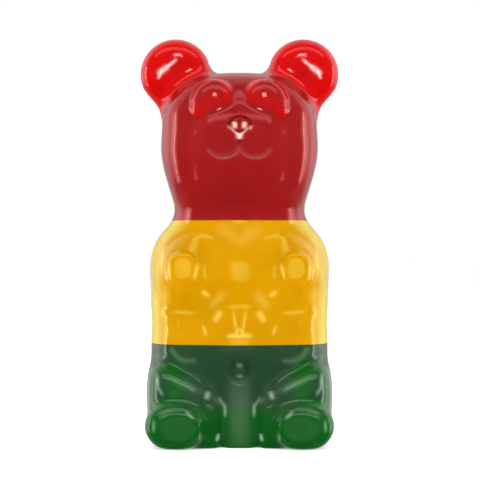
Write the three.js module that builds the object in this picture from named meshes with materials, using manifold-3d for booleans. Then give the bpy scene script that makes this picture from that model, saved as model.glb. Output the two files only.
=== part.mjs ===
// A giant gummy bear: one moulded figure of fruit gelatine, poured in three colours that
// set on top of each other.  Each colour is one solid, and the solids meet face to face.
//
// Lengths are in millimetres.  +Z is up, the bear looks along -Y, and the finished figure
// stands centred on the origin.  Its shape is a field: a function that is negative inside
// the gelatine and positive outside.  The field joins rounded forms with soft seams, and a
// skin of quads is laid over the place where it is zero.

import * as THREE from 'three';
import { mergeVertices } from 'three/addons/utils/BufferGeometryUtils.js';
import Module from 'manifold-3d';

const wasm = await Module();
wasm.setup();

// ---- Driving dimensions ----------------------------------------------------------------

const FLOOR = 0; // the table that the bear stands on
const WAIST = 59.8; // top of the green pour, just above the navel
const COLLAR = 132.1; // top of the yellow pour, at the bottom of the neck
const REACH = 260; // side of a block that is larger than the whole bear

// Every form below has its centre `at` and its half sizes `half` along x, y and z.  Only the
// bear's left side (x >= 0) is drawn: the right side mirrors it.  `front` squares the form's
// outline seen from the front, and `depth` its roundness from front to back (2 is round).

const SKULL = { at: [0, 0, 183.4], half: [46.1, 34.5, 36.5], front: 2.6, depth: 2.5 };
const JAW = { at: [0, -2, 166], half: [43.7, 34, 34], front: 2.4, depth: 2.7 };
const NECK = { at: [0, 1.5, 142], half: [38, 33, 40], front: 2.4 };
const CHEST = { at: [0, 3, 97.6], half: [52.4, 36, 38], front: 2.9 };
const HIPS = { at: [0, 2.5, 46], half: [52.5, 35.4, 70], front: 3.3, depth: 2.8 };
const BREAST = { at: [0, 1, 105.5], half: [44, 36.4, 42] };
const BELLY = { at: [0, -8, 61], half: [38, 31, 30], front: 2.2, depth: 2.2 };
const SEAT = { at: [0, -9, 24], half: [11, 27.4, 36], front: 3.4, depth: 3 };
const HIP = { at: [28, -8, 58], half: [20, 25, 21.5], front: 2.4, depth: 2.6 };
const NAVEL = { at: [0, -39.4, 44.6], half: [5.8, 5.2, 6.6] };
const TAIL = { at: [0, 34, 27], half: [10, 7.6, 10] };

const SHOULDER = { at: [31.6, 3, 105], half: [19.6, 26, 23.6] };
const FOREARM = { at: [31, -11, 100], half: [18.4, 24, 24] };
const PAW = { at: [32.4, -16, 103], half: [15.6, 19.6, 17] };
const PALM = { at: [33, -24, 104], half: [9, 13.4, 10.2], front: 2.2, depth: 6 };

// The shin rises by SHIN_SLANT for each millimetre outwards.  The foot and its sole lean
// back by SOLE_TILT for each millimetre of height, and the nostrils by NOSTRIL_TILT.
const THIGH = { at: [32.6, -4, 25], half: [19.6, 26, 26], front: 2.6, depth: 2.6 };
const SHIN = { at: [32.4, -15, 20.4], half: [21, 27, 26], front: 2.6, depth: 3 };
const SHIN_SLANT = 0.5;
const CALF = { at: [22, -14, 12], half: [13, 26.6, 17.6], front: 4, depth: 3.6 };
const FOOT = { at: [36.6, -28, 13.1], half: [18.3, 21, 14.9], front: 2, depth: 4.6 };
const SOLE = { at: [35.5, -30, 12.6], half: [14.3, 20.3, 10.6], front: 2.1, depth: 7 };
const SOLE_TILT = 0.115;

const MUZZLE = { at: [0, -22.4, 171], half: [29.5, 20, 30], front: 3, depth: 2.5 };
const BROW = { at: [14.6, -25.2, 196.6], half: [14.4, 10.4, 18], front: 2, depth: 2.3 };
const NOSE_CLEFT = { at: [3.6, -45.6, 188.8], half: [4.8, 7.4, 5.4] };
const NOSTRIL = { at: [3.9, -35.4, 186.6], half: [4, 6.2, 4], front: 2, depth: 5 };
const NOSTRIL_TILT = 0.287;

// The ear is a drop with a rounder disc at its end.  The drop is drawn as a limb in the front
// view and then pressed flat about EAR_MID_Y.
const EAR = { from: [38, 0, 219.3], to: [28, 0, 197], radii: [20.4, 13.6] };
const EAR_MID_Y = 3;
const EAR_FLATNESS = 2;
const EAR_DISC = { at: [38, 3, 219.3], half: [19.4, 11.6, 19.4], front: 2, depth: 3 };

// Seams: how far on each side of a joint or cut the two surfaces flow into each other.
const SEAM = {
  head: 8, neck: 8, waist: 7, breast: 12, belly: 5, seat: 5, navel: 1.4, tail: 4,
  elbow: 7, wrist: 6, palm: 1, arm: 5, thigh: 10, knee: 4, ankle: 4, sole: 1, leg: 4,
  muzzle: 3, brow: 2, cleft: 2, nose: 1, drop: 4, ear: 9, foot: 2,
};

// Grid spans for the skin, as [from, to, step] with the fine steps round the face, paws and
// feet.  A layer boundary lies in the middle of its own cell, CELL_AT_CUT high.
const CELL_AT_CUT = 4;
const SPANS_X = [[-62, -20, 4.7], [-20, 20, 2.7], [20, 62, 4.7]];
const SPANS_Y = [[-58, -28, 3.2], [-28, 52, 7.2]];
const SPANS_Z = [
  [FLOOR - 6, 37, 4.8],
  [37, WAIST - CELL_AT_CUT / 2, 3.4],
  [WAIST - CELL_AT_CUT / 2, WAIST + CELL_AT_CUT / 2, CELL_AT_CUT],
  [WAIST + CELL_AT_CUT / 2, COLLAR - CELL_AT_CUT / 2, 5.3],
  [COLLAR - CELL_AT_CUT / 2, COLLAR + CELL_AT_CUT / 2, CELL_AT_CUT],
  [COLLAR + CELL_AT_CUT / 2, 165, 5.6],
  [165, 200, 2.8],
  [200, 218, 3.4],
  [218, 248, 4.6],
];

const TINY = 1e-9;
const PROBE = 0.02; // step for measuring the field's slope
const SETTLE_ROUNDS = 6; // steps that move a skin point onto the surface
const FLAT_TOLERANCE = 0.01; // a point this near the table lies on it

// ---- Field of a single form ------------------------------------------------------------

// A pillow is an ellipsoid whose outline squares up as its exponents rise above 2.
function pillow([x, y, z], { at, half, front = 2, depth = 2 }) {
  const u = Math.abs(x - at[0]) / half[0];
  const v = Math.abs(y - at[1]) / half[1];
  const w = Math.abs(z - at[2]) / half[2];
  const outline = Math.max(u ** front + w ** front, TINY);
  const level = Math.max(outline ** (depth / front) + v ** depth, TINY) ** (1 / depth);
  const lean = outline ** (depth / front - 1);
  const slope = Math.hypot(
    (lean * u ** (front - 1)) / half[0],
    v ** (depth - 1) / half[1],
    (lean * w ** (front - 1)) / half[2],
  );
  return ((level - 1) * level ** (depth - 1)) / Math.max(slope, TINY);
}

// A limb is a rod with round ends, whose radius changes evenly along it.
function limb(point, { from, to, radii }) {
  const along = to.map((end, axis) => end - from[axis]);
  const offset = point.map((value, axis) => value - from[axis]);
  const lengthSquared = along.reduce((sum, value) => sum + value * value, 0);
  const dot = along.reduce((sum, value, axis) => sum + value * offset[axis], 0);
  const t = Math.min(Math.max(dot / lengthSquared, 0), 1);
  const distance = Math.hypot(...offset.map((value, axis) => value - t * along[axis]));
  return distance - (radii[0] + (radii[1] - radii[0]) * t);
}

// Two forms joined, with the seam between them filled over the width `seam`.
function join(a, b, seam) {
  const overlap = Math.max(seam - Math.abs(a - b), 0) / seam;
  return Math.min(a, b) - (overlap * overlap * seam) / 4;
}

// A body with a form cut out of it, and the rim of the cut rounded over the width `seam`.
function carve(body, form, seam) {
  return -join(-body, form, seam);
}

// ---- Field of the bear -----------------------------------------------------------------

// The point as it was before its form was leaned back about the form's centre.
function tiltedBack([x, y, z], form, tilt) {
  return [x, y - tilt * (z - form.at[2]), z];
}

function trunk(p) {
  let d = join(pillow(p, SKULL), pillow(p, JAW), SEAM.head);
  d = join(d, pillow(p, NECK), SEAM.neck);
  d = join(d, pillow(p, CHEST), SEAM.waist);
  d = join(d, pillow(p, HIPS), SEAM.waist);
  d = join(d, pillow(p, BREAST), SEAM.breast);
  d = join(d, pillow(p, HIP), SEAM.belly);
  d = join(d, pillow(p, THIGH), SEAM.thigh);
  d = join(d, pillow(p, BELLY), SEAM.belly);
  return join(d, pillow(p, SEAT), SEAM.seat);
}

function arm(p) {
  let d = join(pillow(p, SHOULDER), pillow(p, FOREARM), SEAM.elbow);
  d = join(d, pillow(p, PAW), SEAM.wrist);
  return join(d, pillow(p, PALM), SEAM.palm);
}

function leg([x, y, z]) {
  const p = [x, y, z];
  const slanted = [x, y, z - SHIN_SLANT * (x - SHIN.at[0])];
  let d = join(pillow(slanted, SHIN), pillow(p, CALF), SEAM.knee);
  d = join(d, pillow(tiltedBack(p, FOOT, SOLE_TILT), FOOT), SEAM.ankle);
  return join(d, pillow(tiltedBack(p, SOLE, SOLE_TILT), SOLE), SEAM.sole);
}

function withFace(body, p) {
  let d = join(body, pillow(p, MUZZLE), SEAM.muzzle);
  d = join(d, pillow(p, BROW), SEAM.brow);
  const nostril = pillow(tiltedBack(p, NOSTRIL, NOSTRIL_TILT), NOSTRIL);
  return join(carve(d, pillow(p, NOSE_CLEFT), SEAM.cleft), nostril, SEAM.nose);
}

function ear([x, y, z]) {
  const drop = limb([x, (y - EAR_MID_Y) * EAR_FLATNESS, z], EAR);
  return join(drop, pillow([x, y, z], EAR_DISC), SEAM.drop);
}

function bear([x, y, z]) {
  const p = [Math.abs(x), y, z];
  let d = join(trunk(p), arm(p), SEAM.arm);
  d = join(d, leg(p), SEAM.leg);
  d = withFace(d, p);
  d = join(d, ear(p), SEAM.ear);
  d = carve(d, pillow(p, NAVEL), SEAM.navel);
  d = join(d, pillow(p, TAIL), SEAM.tail);
  return carve(d, z - FLOOR, SEAM.foot);
}

// ---- Skin over the field ---------------------------------------------------------------

// Grid lines at even steps within each span, and exactly on its ends.
function gridLines(spans) {
  const lines = [spans[0][0]];
  for (const [from, to, step] of spans) {
    const count = Math.max(Math.round((to - from) / step), 1);
    for (let i = 1; i <= count; i += 1) lines.push(from + ((to - from) * i) / count);
  }
  return lines;
}

// Moves a point down the field's slope onto the surface; a point on a cut stays on the cut.
function settle(start, field, cutHeight) {
  const point = [...start];
  if (cutHeight !== undefined) point[2] = cutHeight;
  for (let round = 0; round < SETTLE_ROUNDS; round += 1) {
    const slope = [0, 1, 2].map((axis) => {
      if (axis === 2 && cutHeight !== undefined) return 0;
      const ahead = [...point];
      const behind = [...point];
      ahead[axis] += PROBE;
      behind[axis] -= PROBE;
      return (field(ahead) - field(behind)) / (2 * PROBE);
    });
    const steepness = Math.max(slope.reduce((sum, value) => sum + value * value, 0), TINY);
    const move = field(point) / steepness;
    slope.forEach((value, axis) => { point[axis] -= value * move; });
  }
  if (Math.abs(point[2] - FLOOR) < FLAT_TOLERANCE) point[2] = FLOOR;
  return point;
}

// The mean of the places where the surface crosses the edges of one grid cell, or null.
function crossing(levelAt, lines, cell) {
  const sum = [0, 0, 0];
  let count = 0;
  for (let axis = 0; axis < 3; axis += 1) {
    const [a, b] = [(axis + 1) % 3, (axis + 2) % 3];
    for (const [stepA, stepB] of [[0, 0], [0, 1], [1, 0], [1, 1]]) {
      const low = [...cell];
      low[a] += stepA;
      low[b] += stepB;
      const high = [...low];
      high[axis] += 1;
      const [levelLow, levelHigh] = [levelAt(low), levelAt(high)];
      if (levelLow < 0 === levelHigh < 0) continue;
      const t = levelLow / (levelLow - levelHigh);
      low.forEach((line, i) => {
        const from = lines[i][line];
        sum[i] += i === axis ? from + t * (lines[i][line + 1] - from) : from;
      });
      count += 1;
    }
  }
  return count ? sum.map((value) => value / count) : null;
}

// Lays one point in each grid cell that the surface crosses, and one quad over each grid
// edge that it crosses.  Points in a cell that holds a cut height are put on that height.
function skin(field, lines, cuts) {
  const [nx, ny, nz] = lines.map((list) => list.length);
  const slot = ([i, j, k]) => (i * ny + j) * nz + k;
  const level = new Float64Array(nx * ny * nz);
  const levelAt = (node) => level[slot(node)];
  lines[0].forEach((x, i) => lines[1].forEach((y, j) => lines[2].forEach((z, k) => {
    level[slot([i, j, k])] = field([x, y, z]);
  })));

  const pointOf = new Map();
  const points = [];
  for (let i = 0; i < nx - 1; i += 1) {
    for (let j = 0; j < ny - 1; j += 1) {
      for (let k = 0; k < nz - 1; k += 1) {
        const start = crossing(levelAt, lines, [i, j, k]);
        if (!start) continue;
        const cut = cuts.find((height) => lines[2][k] < height && height < lines[2][k + 1]);
        pointOf.set(slot([i, j, k]), points.length);
        points.push(settle(start, field, cut));
      }
    }
  }

  const triangles = [];
  for (let axis = 0; axis < 3; axis += 1) {
    const [a, b] = [(axis + 1) % 3, (axis + 2) % 3];
    const [i0, j0, k0] = [0, 1, 2].map((side) => (side === axis ? 0 : 1));
    for (let i = i0; i < nx - 1; i += 1) {
      for (let j = j0; j < ny - 1; j += 1) {
        for (let k = k0; k < nz - 1; k += 1) {
          const low = [i, j, k];
          const high = [...low];
          high[axis] += 1;
          const inside = levelAt(low) < 0;
          if (inside === levelAt(high) < 0) continue;
          const ring = [[1, 1], [0, 1], [0, 0], [1, 0]].map(([stepA, stepB]) => {
            const cell = [...low];
            cell[a] -= stepA;
            cell[b] -= stepB;
            return pointOf.get(slot(cell));
          });
          if (!inside) ring.reverse();
          triangles.push(...splitQuad(ring, points));
        }
      }
    }
  }
  return { points, triangles };
}

// Two triangles for a quad, split along its shorter diagonal.
function splitQuad([a, b, c, d], points) {
  const gap = (m, n) => Math.hypot(...points[m].map((value, i) => value - points[n][i]));
  return gap(a, c) <= gap(b, d) ? [a, b, c, a, c, d] : [b, c, d, b, d, a];
}

// ---- Solids ----------------------------------------------------------------------------

function solidFrom(vertProperties, triVerts) {
  return new wasm.Manifold(new wasm.Mesh({ numProp: 3, vertProperties, triVerts }));
}

// A block from one height to another, wider than the bear.
function slab(low, high) {
  const box = new THREE.BoxGeometry(REACH, REACH, high - low);
  box.translate(0, 0, (low + high) / 2);
  box.deleteAttribute('normal');
  box.deleteAttribute('uv');
  const merged = mergeVertices(box);
  const corners = merged.attributes.position.array;
  for (let i = 2; i < corners.length; i += 3) corners[i] = corners[i] > (low + high) / 2 ? high : low;
  return solidFrom(new Float32Array(corners), new Uint32Array(merged.index.array));
}

function geometryOf(solid, shiftY) {
  const { vertProperties, triVerts } = solid.getMesh();
  const geometry = new THREE.BufferGeometry();
  geometry.setAttribute('position', new THREE.BufferAttribute(vertProperties, 3));
  geometry.setIndex(new THREE.BufferAttribute(triVerts, 1));
  geometry.translate(0, shiftY, 0);
  geometry.computeVertexNormals();
  return geometry;
}

// ---- The three pours -------------------------------------------------------------------

const LAYERS = [
  { name: 'green_layer', low: FLOOR - REACH / 2, high: WAIST, color: 0x14602a },
  { name: 'yellow_layer', low: WAIST, high: COLLAR, color: 0xdc9d02 },
  { name: 'red_layer', low: COLLAR, high: REACH, color: 0xa81a1e },
];

const { points, triangles } = skin(
  bear,
  [gridLines(SPANS_X), gridLines(SPANS_Y), gridLines(SPANS_Z)],
  [WAIST, COLLAR],
);
const figure = solidFrom(new Float32Array(points.flat()), new Uint32Array(triangles));
const { min, max } = figure.boundingBox();
const middleY = (min[1] + max[1]) / 2;

const gummyBear = new THREE.Group();
for (const { name, low, high, color } of LAYERS) {
  const geometry = geometryOf(figure.intersect(slab(low, high)), -middleY);
  const material = new THREE.MeshStandardMaterial({ color, roughness: 0.12, metalness: 0 });
  const mesh = new THREE.Mesh(geometry, material);
  mesh.name = name;
  gummyBear.add(mesh);
}

export default gummyBear;
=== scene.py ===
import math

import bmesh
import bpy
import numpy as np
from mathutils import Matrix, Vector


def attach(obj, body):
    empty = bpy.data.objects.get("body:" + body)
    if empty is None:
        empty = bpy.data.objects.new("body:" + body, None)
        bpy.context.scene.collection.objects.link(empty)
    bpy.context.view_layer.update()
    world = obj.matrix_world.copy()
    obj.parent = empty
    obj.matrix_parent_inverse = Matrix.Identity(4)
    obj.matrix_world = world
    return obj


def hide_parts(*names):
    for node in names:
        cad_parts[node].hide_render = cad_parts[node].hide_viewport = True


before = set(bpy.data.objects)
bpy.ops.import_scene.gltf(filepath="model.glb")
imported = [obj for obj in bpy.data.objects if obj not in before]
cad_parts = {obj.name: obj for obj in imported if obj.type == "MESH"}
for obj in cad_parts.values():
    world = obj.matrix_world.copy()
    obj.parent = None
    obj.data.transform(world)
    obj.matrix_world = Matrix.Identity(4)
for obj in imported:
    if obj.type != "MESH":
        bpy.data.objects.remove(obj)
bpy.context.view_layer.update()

# A giant gummy bear of set fruit gelatine, poured in three colours.  Its skin is laid over
# a field of forms like the CAD model's, but much finer and with the small lines of the mould,
# and is cut into three pieces that stand for the three CAD solids.  Forms are in millimetres,
# with the bear facing -Y.

MM = 0.001
TINY = 1e-9
FLOOR = 0.0
WAIST = 59.8  # top of the green pour
COLLAR = 132.1  # top of the yellow pour
POUR_GAP = 0.04  # keeps the faces of two pours from falling into one
CUT_SLACK = 1e-5  # a point this near a cut lies on it
MOST_SKIN_CORNERS = 8  # only the flat face of a cut has more corners

# The skin's grid, from the middle out, from front to back and from the floor up.  Its lines
# lie closer over the ranges `fine`: at the nose and at the streaks in the ears.
STEP = 0.9
FINE_STEP = 0.5
GRID = (
    dict(low=0.25, high=60, fine=((0, 8), (36, 49))),
    dict(low=-56.1, high=47, fine=((-46, -39), (-12, -7))),
    dict(low=-5.6, high=243, fine=((177, 194), (215.5, 227))),
)
SETTLING_STEPS = 4  # how many times the skin's points move closer to the surface

# Where the gelatine's thickness is tried: so far below the skin, and at these shares of the
# way from the skin to the plane that the ears lie in.
DEPTHS_TRIED = (6.0, 10.0, 14.0, 18.0, 23.0, 28.0, 34.0, 40.0)
SHARES_TRIED = (0.5, 1.0)

# Every form has its centre `at` and its half sizes `half`; `front` squares its outline as
# the camera sees it, and `depth` its roundness from front to back (2 is round).

SKULL = dict(at=(0, 0, 183.4), half=(46.1, 34.5, 36.5), front=2.6, depth=2.5)
JAW = dict(at=(0, -2, 166), half=(43.7, 34, 34), front=2.4, depth=2.7)
NECK = dict(at=(0, 1.5, 142), half=(38, 33, 40), front=2.4, depth=2)
CHEST = dict(at=(0, 3, 97.6), half=(52.4, 36, 38), front=2.9)
HIPS = dict(at=(0, 2.5, 46), half=(52.5, 35.4, 70), front=3.3, depth=2.8)
BREAST = dict(at=(0, 1, 105.5), half=(44, 36.4, 42))
BELLY = dict(at=(0, -8, 61), half=(38, 31, 30), front=2.2, depth=2.2)
SEAT = dict(at=(0, -9, 18), half=(12, 27.4, 42), front=3, depth=4)
HIP = dict(at=(28, -8, 58), half=(20, 25, 21.5), front=2.4, depth=2.6)
TAIL = dict(at=(0, 34, 27), half=(10, 7.6, 10))

SHOULDER = dict(at=(31.6, 3, 105), half=(19.6, 26, 23.6))
FOREARM = dict(at=(31, -11, 100), half=(18.4, 24, 24))
PAW = dict(at=(32.4, -16, 103), half=(15.6, 19.6, 17))
PALM = dict(at=(33, -24, 104), half=(9, 13.4, 10.2), front=2.2, depth=6)

THIGH = dict(at=(32.6, -4, 25), half=(19.6, 26, 26), front=2.6, depth=2.6)
SHIN = dict(at=(32.4, -15, 20.4), half=(21, 27, 26), front=2.6, depth=3)
SHIN_SLANT = 0.5  # how steeply the shin rises outwards
CALF = dict(at=(22, -14, 12), half=(13, 26.6, 17.6), front=4, depth=3.6)
FOOT = dict(at=(36.6, -28, 13.1), half=(18.3, 21, 14.9), front=2, depth=4.6)
SOLE = dict(at=(35.5, -30, 12.6), half=(14.3, 20.3, 10.6), front=2.1, depth=7)
SOLE_TILT = 0.115  # how steeply the face of the foot leans back

MUZZLE = dict(at=(0, -22.4, 171.2), half=(29, 20, 29.4), front=3, depth=2.6)
BROW = dict(at=(14.6, -25.2, 196.6), half=(14.4, 10.4, 18), front=2, depth=2.3)
BROW_DROP = 2  # how many times shorter the brow is below its middle
NOSE = dict(at=(0, -35.4, 186.4), half=(6.4, 6, 8.6), front=1.15, depth=6)
NOSE_TILT = 0.287  # how steeply its face leans back

# The ear is a drop in the front view, drawn as a limb and then pressed flat.
EAR_MID_Y = 3
EAR = dict(start=(38, 0, 219.3), end=(28, 0, 197), radii=(20.4, 13.6))
EAR_FLATNESS = 2  # how many times wider than thick the limb is
EAR_DISC = dict(at=(38, EAR_MID_Y, 219.3), half=(19.4, 11.6, 19.4), front=2, depth=3)

# Seams: how far on each side of a joint or cut the two surfaces flow into each other.
SEAM = dict(
    head=8, neck=8, waist=7, breast=12, belly=5, seat=5, tail=4,
    elbow=7, wrist=6, palm=1, arm=5, thigh=10, knee=4, ankle=4, sole=1, leg=4,
    muzzle=3, brow=2, nose=0.6, drop=4, ear=9, foot=2,
)

# Fine lines on the front, `wide` millimetres from middle to edge: the mould pushes them in by
# `deep`, or out where that is below 0, and their painted-highlight value is how strongly a
# highlight is painted along them.  Lines with no `deep` are painted highlights only.
# `arc` is the part of an oval that is drawn, in degrees: 0 points away from the middle of
# the bear and 90 points up.
ARC_FADE = 0.15  # how gently the ends of an arc fade away
OVALS = dict(
    nose=dict(at=(0, 187.6), half=(6, 4.2), wide=0.9, deep=1.5, arc=(-5, 185)),
    mouth=dict(at=(9.2, 177.5), half=(10, 8.8), wide=1.4, deep=1, painted_highlight=0.05, arc=(-172, -24)),
    arm=dict(at=(25.2, 103.6), half=(21, 21.6), wide=1.8, deep=0.6, arc=(-30, 120)),
    navel=dict(at=(0, 44.6), half=(4.6, 5.4), wide=1.8, deep=2.2, arc=(-181, 181)),
    hip=dict(at=(29, 62.4), half=(11.6, 11.6), wide=1.6, deep=1.2, painted_highlight=0.12, arc=(-110, -20)),
)
LINES = dict(
    ear_streak=dict(start=(36.6, 228), end=(44.5, 221.6), wide=0.8, painted_highlight=1),
    ear_streak_end=dict(start=(41.6, 223.8), end=(49, 218.4), wide=1.4, painted_highlight=1),
    ear_streak_tip=dict(start=(46, 221), end=(48.4, 215.6), wide=0.8, painted_highlight=0.9),
    nose_fold=dict(start=(6.6, 188.4), end=(-2.6, 180.4), wide=0.6, deep=1.4),
    nose_parting=dict(start=(0, 193), end=(0, 181.4), wide=0.7, deep=1.4),
    nostril=dict(start=(3.1, 189.2), end=(2.7, 184.4), wide=1.3, painted_highlight=1),
    nose_rim=dict(start=(7, 186.6), end=(-2.6, 178.5), wide=0.6, painted_highlight=0.45),
    nose_tip=dict(start=(0, 182.8), end=(0, 178.4), wide=1.6, painted_highlight=1),
    philtrum=dict(start=(0, 179), end=(0, 174), wide=1, deep=0.8),
    chest_top=dict(start=(-3, 118), end=(14, 130), wide=4, painted_highlight=0.13),
    arm_side=dict(start=(44.8, 116), end=(45.8, 102), wide=0.9, painted_highlight=0.4),
    arm_side_low=dict(start=(44.6, 93), end=(43.2, 82), wide=2.2, painted_highlight=0.25),
    pad_outside=dict(start=(40.7, 107), end=(40.5, 96.6), wide=0.8, painted_highlight=0.5),
    pad_inside=dict(start=(23.8, 108), end=(26.4, 96.6), wide=0.9, painted_highlight=0.6),
    arm_fold=dict(start=(16.8, 87.6), end=(22.2, 91.4), wide=1.1, deep=0.4, painted_highlight=0.5),
    arm_crease=dict(start=(8, 91), end=(18, 80.4), wide=2.4, painted_highlight=0.18),
    waist_fold=dict(start=(24, 78), end=(40, 79), wide=0.9, deep=0.3, painted_highlight=0.35),
    belly_dimple=dict(start=(10, 80), end=(15.4, 72.6), wide=1.7, deep=0.5, painted_highlight=0.5),
    belly_side=dict(start=(21.4, 71.6), end=(19, 64.8), wide=0.8, deep=0.3, painted_highlight=0.45),
    belly_furrow=dict(start=(3.8, 80.4), end=(1.5, 65), wide=0.8, deep=0.4, painted_highlight=0.45),
    furrow_fork=dict(start=(2.4, 66), end=(-0.6, 70.6), wide=0.8, painted_highlight=0.4),
    furrow_foot=dict(start=(-8, 64.9), end=(8, 64.9), wide=1.3, deep=0.4, painted_highlight=0.5),
    navel_top=dict(start=(-2.4, 48.2), end=(2.4, 48.2), wide=1, painted_highlight=0.2),
    navel_low=dict(start=(-2.6, 41.6), end=(2.6, 41.6), wide=0.9, painted_highlight=0.25),
    thigh_side=dict(start=(47.7, 44), end=(47, 33.4), wide=0.9, painted_highlight=0.4),
    thigh_side_low=dict(start=(47.3, 35.8), end=(44, 30.6), wide=0.9, painted_highlight=0.3),
    shin_ridge=dict(start=(43, 41.4), end=(18, 31.4), wide=2.2, painted_highlight=0.09),
    knee_knot=dict(start=(17.8, 33.4), end=(19, 27.8), wide=1.5, deep=-1, painted_highlight=0.5),
    seat_glow=dict(start=(0, 44), end=(0, -6), wide=6.5, painted_highlight=0.07),
    seat_corner=dict(start=(12.6, 30), end=(8.2, 23.6), wide=0.8, painted_highlight=0.3),
    seat_side=dict(start=(8.4, 26.6), end=(8.3, 17.6), wide=0.8, painted_highlight=0.45),
    seat_foot=dict(start=(12, 9), end=(13.2, 4), wide=0.9, painted_highlight=0.7),
    sole_top=dict(start=(31.4, 22.6), end=(26, 18), wide=0.8, painted_highlight=0.4),
    sole_inside=dict(start=(22.6, 10), end=(22.9, 4.4), wide=0.7, painted_highlight=0.3),
    sole_outside=dict(start=(49.3, 18), end=(49.3, 9.6), wide=0.8, painted_highlight=0.3),
)


# ---- Field of the bear: negative inside the gelatine -----------------------------------

def pillow(p, at, half, front=2, depth=2):
    """An ellipsoid whose outline squares up as its exponents rise above 2."""
    u, v, w = (np.abs(p[i] - at[i]) / half[i] for i in range(3))
    outline = np.maximum(u ** front + w ** front, TINY)
    level = np.maximum(outline ** (depth / front) + v ** depth, TINY) ** (1 / depth)
    lean = outline ** (depth / front - 1)
    slope = np.sqrt(
        (lean * u ** (front - 1) / half[0]) ** 2
        + (v ** (depth - 1) / half[1]) ** 2
        + (lean * w ** (front - 1) / half[2]) ** 2
    )
    return (level - 1) * level ** (depth - 1) / np.maximum(slope, TINY)


def limb(p, start, end, radii):
    """A rod with round ends, whose radius changes evenly along it."""
    along = [b - a for a, b in zip(start, end)]
    offset = [value - a for value, a in zip(p, start)]
    dot = sum(a * o for a, o in zip(along, offset))
    t = np.clip(dot / sum(a * a for a in along), 0, 1)
    distance = np.sqrt(sum((o - t * a) ** 2 for a, o in zip(along, offset)))
    return distance - (radii[0] + (radii[1] - radii[0]) * t)


def join(a, b, seam):
    """Two forms as one, with the joint between them filled over the width `seam`."""
    overlap = np.maximum(seam - np.abs(a - b), 0) / seam
    return np.minimum(a, b) - overlap * overlap * seam / 4


def carve(body, form, seam):
    """What is left of a body without a form, with the rim of the cut eased over `seam`."""
    return -join(-body, form, seam)


def tilted_back(p, form, tilt):
    """Leans a form's face back, `tilt` millimetres for each millimetre of height."""
    return (p[0], p[1] - tilt * (p[2] - form["at"][2]), p[2])


def trunk(p):
    d = join(pillow(p, **SKULL), pillow(p, **JAW), SEAM["head"])
    d = join(d, pillow(p, **NECK), SEAM["neck"])
    d = join(d, pillow(p, **CHEST), SEAM["waist"])
    d = join(d, pillow(p, **HIPS), SEAM["waist"])
    d = join(d, pillow(p, **BREAST), SEAM["breast"])
    d = join(d, pillow(p, **HIP), SEAM["belly"])
    d = join(d, pillow(p, **THIGH), SEAM["thigh"])
    d = join(d, pillow(p, **BELLY), SEAM["belly"])
    return join(d, pillow(p, **SEAT), SEAM["seat"])


def arm(p):
    d = join(pillow(p, **SHOULDER), pillow(p, **FOREARM), SEAM["elbow"])
    d = join(d, pillow(p, **PAW), SEAM["wrist"])
    return join(d, pillow(p, **PALM), SEAM["palm"])


def leg(p):
    slanted = (p[0], p[1], p[2] - SHIN_SLANT * (p[0] - SHIN["at"][0]))
    d = join(pillow(slanted, **SHIN), pillow(p, **CALF), SEAM["knee"])
    d = join(d, pillow(tilted_back(p, FOOT, SOLE_TILT), **FOOT), SEAM["ankle"])
    return join(d, pillow(tilted_back(p, SOLE, SOLE_TILT), **SOLE), SEAM["sole"])


def of_strokes(p, effect):
    """How much of one `effect` the fine lines have at each point of the front."""
    x, y, z = p
    total = 0
    for oval in (o for o in OVALS.values() if effect in o):
        u, w = ((v - c) / h for v, c, h in zip((x, z), oval["at"], oval["half"]))
        off = (np.hypot(u, w) - 1) * oval["half"][0]
        first, last = (math.radians(a) for a in oval["arc"])
        turn = np.cos(np.arctan2(w, u) - (first + last) / 2) - math.cos((last - first) / 2)
        shown = np.clip(turn / ARC_FADE + 0.5, 0, 1)
        total = total + oval[effect] * np.exp(-(off / oval["wide"]) ** 2) * shown
    for line in (i for i in LINES.values() if effect in i):
        start, along = line["start"], [b - a for a, b in zip(line["start"], line["end"])]
        reach = (x - start[0]) * along[0] + (z - start[1]) * along[1]
        t = np.clip(reach / (along[0] ** 2 + along[1] ** 2), 0, 1)
        off = np.hypot(x - start[0] - t * along[0], z - start[1] - t * along[1])
        towards_end = (2 * t - 1) ** 2
        total = total + line[effect] * np.exp(-(off / line["wide"]) ** 2) * (1 - towards_end)
    return total * (y < 0)


def with_face(body, p):
    """Adds the muzzle, the brows and the nose."""
    d = join(body, pillow(p, **MUZZLE), SEAM["muzzle"])
    middle = BROW["at"][2]
    cut_short = middle + (p[2] - middle) * np.where(p[2] < middle, BROW_DROP, 1)
    d = join(d, pillow((p[0], p[1], cut_short), **BROW), SEAM["brow"])
    return join(d, pillow(tilted_back(p, NOSE, NOSE_TILT), **NOSE), SEAM["nose"])


def bear(x, y, z):
    """The whole bear; the arms, legs and ears of both sides come from one of each."""
    p = (np.abs(x), y, z)
    d = join(trunk(p), arm(p), SEAM["arm"])
    d = join(d, leg(p), SEAM["leg"])
    d = with_face(d, p)
    flat = (p[0], (y - EAR_MID_Y) * EAR_FLATNESS, z)
    ear = join(limb(flat, **EAR), pillow(p, **EAR_DISC), SEAM["drop"])
    d = join(d, ear, SEAM["ear"]) + of_strokes(p, "deep")
    d = join(d, pillow(p, **TAIL), SEAM["tail"])
    return carve(d, z - FLOOR, SEAM["foot"])


def slope_at(points, probe=0.05):
    """The field's gradient at each point: the way out of the gelatine."""
    steps = np.eye(3) * probe
    return np.stack(
        [(bear(*(points + s).T) - bear(*(points - s).T)) / (2 * probe) for s in steps], axis=1
    )


# ---- Skin over the field ---------------------------------------------------------------

def grid_lines(low, high, fine):
    """Places of the grid's lines from `low` to `high`, closer over the ranges `fine`."""
    lines = [low]
    while lines[-1] < high:
        is_fine = any(first < lines[-1] < last for first, last in fine)
        lines.append(lines[-1] + (FINE_STEP if is_fine else STEP))
    return np.array(lines)


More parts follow.
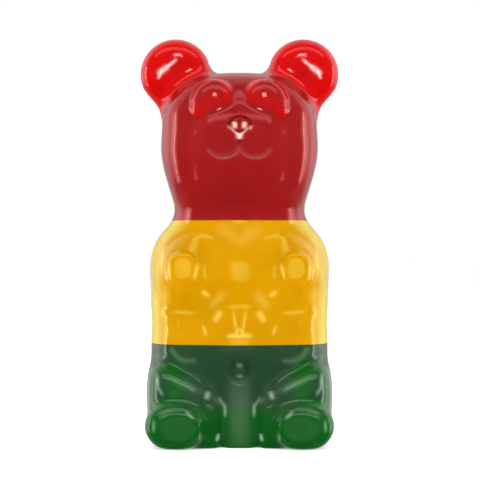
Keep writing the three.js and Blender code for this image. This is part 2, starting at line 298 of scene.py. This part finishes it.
def bear_skin():
    """Points on the bear's surface, and the quads between them, facing out."""
    lines = [grid_lines(**along) for along in GRID]
    lines[0] = np.concatenate([-lines[0][::-1], lines[0]])
    level = bear(*np.meshgrid(*lines, indexing="ij"))
    inside = level < 0
    corners = [(i, j, k) for i in (0, 1) for j in (0, 1) for k in (0, 1)]
    size = [n - 1 for n in level.shape]
    count = sum(
        inside[i:size[0] + i, j:size[1] + j, k:size[2] + k].astype(np.int8)
        for i, j, k in corners
    )
    crossed = (count > 0) & (count < 8)
    cells = np.argwhere(crossed)
    point_of = np.full(crossed.shape, -1)
    point_of[crossed] = np.arange(len(cells))

    total = np.zeros((len(cells), 3))
    hits = np.zeros(len(cells))
    for axis in range(3):
        for corner in (c for c in corners if c[axis] == 0):
            low = cells + corner
            high = low.copy()
            high[:, axis] += 1
            a, b = level[tuple(low.T)], level[tuple(high.T)]
            hit = (a < 0) != (b < 0)
            place = np.stack([lines[i][low[:, i]] for i in range(3)], axis=1)
            gap = lines[axis][high[:, axis]] - lines[axis][low[:, axis]]
            place[:, axis] += gap * np.where(hit, a / np.where(hit, a - b, 1), 0)
            total += place * hit[:, None]
            hits += hit
    points = total / hits[:, None]
    for _ in range(SETTLING_STEPS):
        slope = slope_at(points)
        steep = np.maximum((slope ** 2).sum(axis=1), TINY)
        points = points - (bear(*points.T) / steep)[:, None] * slope

    quads = []
    for axis in range(3):
        a, b = (axis + 1) % 3, (axis + 2) % 3
        low = [slice(None)] * 3
        high = [slice(None)] * 3
        low[axis], high[axis] = slice(None, -1), slice(1, None)
        edges = np.argwhere(inside[tuple(low)] != inside[tuple(high)])
        edges = edges[(edges[:, a] > 0) & (edges[:, b] > 0)]
        ring = []
        for step_a, step_b in ((1, 1), (0, 1), (0, 0), (1, 0)):
            cell = edges.copy()
            cell[:, a] -= step_a
            cell[:, b] -= step_b
            ring.append(point_of[tuple(cell.T)])
        ring = np.stack(ring, axis=1)
        outward = inside[tuple(edges.T)]
        quads.append(np.where(outward[:, None], ring, ring[:, ::-1]))
    return points, np.concatenate(quads)


POINTS, QUADS = bear_skin()
MID_Y = (POINTS[:, 1].min() + POINTS[:, 1].max()) / 2  # comes to lie over the frame's origin


def thickness_at(points, outward):
    """How deep inside the gelatine a ray gets, straight in or towards the ears' plane."""
    inward = [points - outward * t for t in DEPTHS_TRIED]
    to_middle = [points - (0, 1, 0) * (points[:, 1:2] - EAR_MID_Y) * t for t in SHARES_TRIED]
    return np.max([-bear(*p.T) for p in inward + to_middle], axis=0)


def depth_behind(points):
    """How far inside the outline, seen from the front, each point lies."""
    middle = points * (1, 0, 1) + (0, EAR_MID_Y, 0)
    return np.maximum(-bear(*middle.T), 0)


def share_of_skin(name, low, high):
    """The skin from one height to another, closed with a flat face at each cut."""
    bm = bmesh.new()
    corners = [bm.verts.new(p) for p in POINTS.tolist()]
    for quad in QUADS.tolist():
        bm.faces.new([corners[i] for i in quad])
    for height, away in ((low, -1), (high, 1)):
        if height is None:
            continue
        bmesh.ops.bisect_plane(
            bm, geom=bm.verts[:] + bm.edges[:] + bm.faces[:], dist=CUT_SLACK,
            plane_co=(0, 0, height), plane_no=(0, 0, away), clear_outer=True,
        )
        rim = [edge for edge in bm.edges if edge.is_boundary]
        bmesh.ops.holes_fill(bm, edges=rim, sides=0)
    bmesh.ops.recalc_face_normals(bm, faces=bm.faces)
    mesh = bpy.data.meshes.new(name)
    bm.to_mesh(mesh)
    bm.free()
    return mesh


def store(mesh, name, values):
    """Keeps a value for each point of a mesh, which its material reads."""
    mesh.attributes.new(name, "FLOAT", "POINT").data.foreach_set("value", values)


def pour(name, low, high):
    """One colour's share of the bear, from its lower cut to its upper one."""
    mesh = share_of_skin(name, low, high)
    points = np.empty(len(mesh.vertices) * 3)
    mesh.vertices.foreach_get("co", points)
    points = points.reshape(-1, 3)
    outward = slope_at(points)
    outward /= np.linalg.norm(outward, axis=1)[:, None]

    store(mesh, "thickness", thickness_at(points, outward))
    store(mesh, "depth_behind", depth_behind(points))
    across, back, up = points.T
    # Where highlights are painted along the fine lines, as strong as their values say.
    painted_highlight = of_strokes((np.abs(across), back, up), "painted_highlight")
    store(mesh, "painted_highlight", np.minimum(painted_highlight, 1))
    store(mesh, "to_next_pour", np.minimum(np.abs(up - WAIST), np.abs(up - COLLAR)))

    corner_normals = []
    for face in mesh.polygons:
        if len(face.vertices) > MOST_SKIN_CORNERS:
            corner_normals += [face.normal] * len(face.vertices)
        else:
            corner_normals += [outward[i] for i in face.vertices]
    mesh.shade_smooth()
    mesh.normals_split_custom_set([tuple(n) for n in corner_normals])
    mesh.vertices.foreach_set("co", ((points - (0, MID_Y, 0)) * MM).ravel())
    mesh.update()
    piece = bpy.data.objects.new(name, mesh)
    bpy.context.scene.collection.objects.link(piece)
    return piece


# ---- Gelatine --------------------------------------------------------------------------

CLOUD_SIZE = 18  # in millimetres, like the five measures after it
WAVE_SIZE = 9
WAVE_HEIGHT = 0.15
STRAY = 3.0  # how far light strays under the skin
STRAY_AT_LINE = 0.2  # the same at the line between two pours
LINE_REACH = (0.5, 8.0)  # where the line begins to tell and where it no longer does
CLOUD_CONTRAST = 0.06


def linear(colour):
    """A hex colour as the linear numbers that a shader takes."""
    parts = [int(colour[i:i + 2], 16) / 255 for i in (1, 3, 5)]
    return [p / 12.92 if p <= 0.04045 else ((p + 0.055) / 1.055) ** 2.4 for p in parts] + [1]


def add(tree, kind, inputs=(), **settings):
    """Adds a node, sets it up, and fills its inputs with values or with other sockets."""
    node = tree.nodes.new(kind)
    for name, value in settings.items():
        setattr(node, name, value)
    for name, value in dict(inputs).items():
        if isinstance(value, bpy.types.NodeSocket):
            tree.links.new(value, node.inputs[name])
        else:
            node.inputs[name].default_value = value
    return node


def gelatine(name, thin, deep, lit, reach, gloss, measure, thick_from, thick_to):
    """Fruit gelatine set in a smooth mould: wet-looking, and clearer where it is thin.

    Its colour goes from `thin` to `deep` as `measure` goes from `thick_from` to `thick_to`,
    and to `lit` where highlights are painted along the fine lines.  `gloss` tints its highlights,
    and `reach` is how far red, green and blue light stray in it, as shares of STRAY.
    """
    material = bpy.data.materials.new(name)
    material.use_nodes = True
    tree = material.node_tree
    tree.nodes.clear()
    place = add(tree, "ShaderNodeTexCoord").outputs["Object"]
    place_mm = add(
        tree, "ShaderNodeVectorMath", {0: place, "Scale": 1 / MM}, operation="SCALE"
    ).outputs[0]

    # Depth of colour, partly the gelatine's own and partly painted glow: thin ears and paws are
    # coloured brighter, as light comes back out of them sooner than out of the trunk.
    thickness = add(tree, "ShaderNodeAttribute", attribute_name=measure).outputs["Fac"]
    thick = add(
        tree, "ShaderNodeMapRange",
        {"Value": thickness, "From Min": thick_from, "From Max": thick_to},
        interpolation_type="SMOOTHSTEP",
    ).outputs[0]
    colour = add(
        tree, "ShaderNodeMix", {0: thick, 6: linear(thin), 7: linear(deep)},
        data_type="RGBA",
    ).outputs[2]

    # Faint clouds, from gelatine that set unevenly.
    clouds = add(
        tree, "ShaderNodeTexNoise", {"Vector": place_mm, "Scale": 1 / CLOUD_SIZE, "Detail": 2.0}
    ).outputs[0]
    cloud_level = add(
        tree, "ShaderNodeMapRange",
        {
            "Value": clouds, "From Min": 0.3, "From Max": 0.7,
            "To Min": 1 - CLOUD_CONTRAST, "To Max": 1 + CLOUD_CONTRAST,
        },
    ).outputs[0]
    colour = add(
        tree, "ShaderNodeVectorMath", {0: colour, "Scale": cloud_level}, operation="SCALE"
    ).outputs[0]

    # Painted highlights: along the fine lines the colour turns towards the pale `lit` colour,
    # where glints on the gloss would be.
    painted_highlight = add(tree, "ShaderNodeAttribute", attribute_name="painted_highlight").outputs["Fac"]
    colour = add(
        tree, "ShaderNodeMix", {0: painted_highlight, 6: colour, 7: linear(lit)}, data_type="RGBA"
    ).outputs[2]

    # Light strays less far near the next pour, so the line between them stays crisp.
    to_next = add(tree, "ShaderNodeAttribute", attribute_name="to_next_pour").outputs["Fac"]
    scatter = add(
        tree, "ShaderNodeMapRange",
        {
            "Value": to_next, "From Min": LINE_REACH[0], "From Max": LINE_REACH[1],
            "To Min": STRAY_AT_LINE * MM, "To Max": STRAY * MM,
        },
    ).outputs[0]

    # The mould leaves low waves, which bend the reflections slightly.
    waves = add(
        tree, "ShaderNodeTexNoise", {"Vector": place_mm, "Scale": 1 / WAVE_SIZE, "Detail": 1.0}
    ).outputs[0]
    relief = add(
        tree, "ShaderNodeBump", {"Height": waves, "Distance": WAVE_HEIGHT * MM, "Strength": 1.0}
    ).outputs[0]

    skin = add(
        tree, "ShaderNodeBsdfPrincipled",
        {
            "Base Color": colour, "Roughness": 0.1, "IOR": 1.45, "Normal": relief,
            "Specular Tint": linear(gloss),
            "Subsurface Weight": 1.0, "Subsurface Radius": reach, "Subsurface Scale": scatter,
        },
    )
    add(tree, "ShaderNodeOutputMaterial", {"Surface": skin.outputs[0]})
    return material


# Bright red in the ears, where little of it is looked through, and dull in the deep skull; the
# ears' brightness is partly the gelatine's own and partly painted glow.
RED = gelatine(
    "moulded_red_gelatine", thin="#b90808", deep="#8b1516", lit="#ffc4be", gloss="#ff9494",
    reach=(1.0, 0.15, 0.15), measure="thickness", thick_from=16, thick_to=30,
)
# Amber through and through, and a paler lemon yellow painted along the outline seen from the
# front, as painted light from behind shining through the thin rim.
YELLOW = gelatine(
    "moulded_yellow_gelatine", thin="#d0b62c", deep="#c89202", lit="#ffe066", gloss="#e7ff76",
    reach=(1.0, 0.6, 0.1), measure="depth_behind", thick_from=1, thick_to=9,
)
# Bottle green where it is thin; where it is thick, a greyer, milky green, partly clouded gelatine
# and partly a painted sheen of soft reflection, dark enough that its gloss shows most.
GREEN = gelatine(
    "moulded_green_gelatine", thin="#0a5516", deep="#24452a", lit="#b4d0b4", gloss="#aabcaa",
    reach=(0.3, 1.0, 0.3), measure="thickness", thick_from=16, thick_to=30,
)

# Each piece, the CAD node and slot that it stands for, its gelatine, and its two cuts.
POURS = [
    ("green_gelatine_base", "green_layer", "green_gelatine", GREEN, None, WAIST - POUR_GAP / 2),
    ("yellow_gelatine_middle", "yellow_layer", "yellow_gelatine", YELLOW,
     WAIST + POUR_GAP / 2, COLLAR - POUR_GAP / 2),
    ("red_gelatine_head", "red_layer", "red_gelatine", RED, COLLAR + POUR_GAP / 2, None),
]
for piece_name, node, slot, material, low, high in POURS:
    piece = pour(piece_name, low, high)
    piece.data.materials.append(material)
    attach(piece, "root")
    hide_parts(node)


# ---- Floor, light and camera -----------------------------------------------------------

def stage_material(name, colour, glow):
    """Matt paper, with a glow of its own that keeps the bear's shadow on it faint."""
    material = bpy.data.materials.new(name)
    material.use_nodes = True
    tree = material.node_tree
    tree.nodes.clear()
    skin = add(
        tree, "ShaderNodeBsdfPrincipled",
        {
            "Base Color": linear(colour), "Roughness": 0.9, "Specular IOR Level": 0.0,
            "Emission Color": linear(colour), "Emission Strength": glow,
        },
    )
    add(tree, "ShaderNodeOutputMaterial", {"Surface": skin.outputs[0]})
    return material


def add_floor(half_width):
    mesh = bpy.data.meshes.new("floor")
    corners = [(-1, -1), (1, -1), (1, 1), (-1, 1)]
    mesh.from_pydata([(x * half_width, y * half_width, 0) for x, y in corners], [], [(0, 1, 2, 3)])
    mesh.materials.append(stage_material("white_paper_floor", "#fafafa", 0.5))
    floor = bpy.data.objects.new("floor", mesh)
    bpy.context.scene.collection.objects.link(floor)
    floor.visible_glossy = False


def add_softbox(name, azimuth, elevation, distance, size, radiance, only_on=None):
    """A lamp aimed at the bear; azimuth 0 is in front and 90 at the bear's left.

    Its distance and size are in metres, and `only_on` is the one piece that it lights.
    """
    middle_of_bear = Vector((0, 0, 0.12))
    turn, tilt = math.radians(azimuth), math.radians(elevation)
    way = Vector((
        math.sin(turn) * math.cos(tilt), -math.cos(turn) * math.cos(tilt), math.sin(tilt)
    ))
    lamp = bpy.data.lights.new(name, "AREA")
    lamp.shape = "RECTANGLE"
    lamp.size, lamp.size_y = size
    lamp.energy = radiance * math.pi * size[0] * size[1]
    box = bpy.data.objects.new(name, lamp)
    bpy.context.scene.collection.objects.link(box)
    box.location = middle_of_bear + way * distance
    box.rotation_mode = "QUATERNION"
    box.rotation_quaternion = way.to_track_quat("Z", "Y")
    box.visible_camera = False
    if only_on:
        lit = bpy.data.collections.new(name)
        lit.objects.link(bpy.data.objects[only_on])
        box.light_linking.receiver_collection = lit
    return box


def add_world():
    """White paper behind and beside the bear, and a dim room in front that is dark below."""
    world = bpy.data.worlds.new("studio")
    bpy.context.scene.world = world
    world.use_nodes = True
    tree = world.node_tree
    tree.nodes.clear()
    way = add(tree, "ShaderNodeTexCoord").outputs["Generated"]
    parts = add(tree, "ShaderNodeSeparateXYZ", {0: way}).outputs
    back, up = parts["Y"], parts["Z"]

    # Each of these goes smoothly from one value to another, from one place to another.
    fades = {}
    for name, place, start, end, first, last in (
        ("room", up, -0.3, 0.15, 0.05, 0.3),
        ("is_straight_back", back, 0.55, 0.92, 0.0, 1.0),
        ("paper", up, -0.4, 0.05, 0.3, 1.9),
        ("is_overhead", up, 0.3, 0.85, 0.0, 1.0),
        ("is_behind", back, 0.0, 0.12, 0.0, 1.0),
    ):
        fades[name] = add(
            tree, "ShaderNodeMapRange",
            {"Value": place, "From Min": start, "From Max": end, "To Min": first, "To Max": last},
            interpolation_type="SMOOTHSTEP",
        ).outputs[0]

    seen = add(tree, "ShaderNodeLightPath").outputs["Is Camera Ray"]
    paper = add(tree, "ShaderNodeMix", {0: fades["is_straight_back"], 2: fades["paper"], 3: 0.6})
    paper = add(tree, "ShaderNodeMix", {0: fades["is_overhead"], 2: paper.outputs[0], 3: 1.0})
    level = add(
        tree, "ShaderNodeMix", {0: fades["is_behind"], 2: fades["room"], 3: paper.outputs[0]}
    )
    level = add(tree, "ShaderNodeMix", {0: seen, 2: level.outputs[0], 3: 1.0})
    light = add(
        tree, "ShaderNodeBackground", {"Strength": level.outputs[0], "Color": (1, 1, 1, 1)}
    )
    add(tree, "ShaderNodeOutputWorld", {"Surface": light.outputs[0]})


def add_camera():
    """Straight in front of the bear, level with its middle."""
    distance = 1.3
    across, up = 0.0003, 0.12065
    pixels, mm_per_pixel = 480, 0.5952
    camera = bpy.data.objects.new("camera", bpy.data.cameras.new("camera"))
    camera.data.lens = camera.data.sensor_width * distance / (pixels * mm_per_pixel * MM)
    camera.location = (across, -distance - MID_Y * MM, up)
    camera.rotation_euler = (math.radians(90), 0, 0)
    bpy.context.scene.collection.objects.link(camera)
    bpy.context.scene.camera = camera


add_floor(half_width=4.0)
add_world()
add_softbox("top_bar", 0, 62, 2.0, (3.6, 0.7), 3.4)

# Each pour's gloss shows lamps of its own.
add_softbox("flash", 0, 32, 2.0, (0.4, 0.32), 32.0, "red_gelatine_head")
add_softbox("long_strip", 0, 50, 2.0, (2.6, 0.14), 10.0, "green_gelatine_base")
add_softbox("window_glow", 0, 0, 2.0, (0.62, 0.8), 3.6, "yellow_gelatine_middle")
for width in (0.5, 0.9, 1.4):
    add_softbox("soft_glow", 0, 0, 2.0, (width, width), 0.75, "green_gelatine_base")

front_fill = add_softbox("front_fill", 0, 25, 2.0, (2.0, 2.0), 1.0)
front_fill.visible_glossy = False
for side in (-1, 1):
    add_softbox("side_panel", side * 95, 0, 1.8, (0.6, 1.3), 2.8)
    side_fill = add_softbox("side_fill", side * 80, 0, 2.0, (1.0, 1.6), 0.5)
    side_fill.visible_glossy = False
    add_softbox("side_strip", side * 93, 3, 1.7, (0.07, 1.2), 12.0)
add_camera()
bpy.context.scene.view_settings.view_transform = "Standard"
